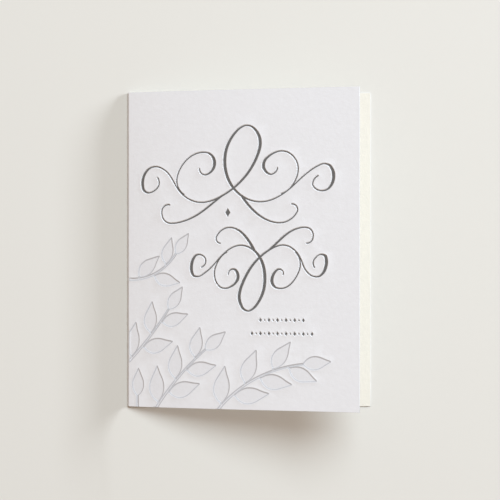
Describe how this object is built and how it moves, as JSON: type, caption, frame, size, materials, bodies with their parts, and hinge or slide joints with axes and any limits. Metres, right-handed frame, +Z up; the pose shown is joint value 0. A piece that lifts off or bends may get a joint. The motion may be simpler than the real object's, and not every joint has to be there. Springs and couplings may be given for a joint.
{
  "type": "greeting card",
  "caption": "Folded greeting card of thick cotton paper with a letterpress flourish and leaf ornament, lying on its back with its cover sprung open a little.",
  "frame": {"origin": "middle of the flat back panel, on the surface that the card lies on", "axes": "+X from the fold towards the free edges, +Y along the fold to the card's top, +Z up out of the back panel"},
  "size_m": [0.108, 0.1396, 0.039],
  "materials": {
    "cotton_paper": "matte"
  },
  "bodies": {
    "root": {"folded_card": "cotton_paper"}
  },
  "joints": []
}
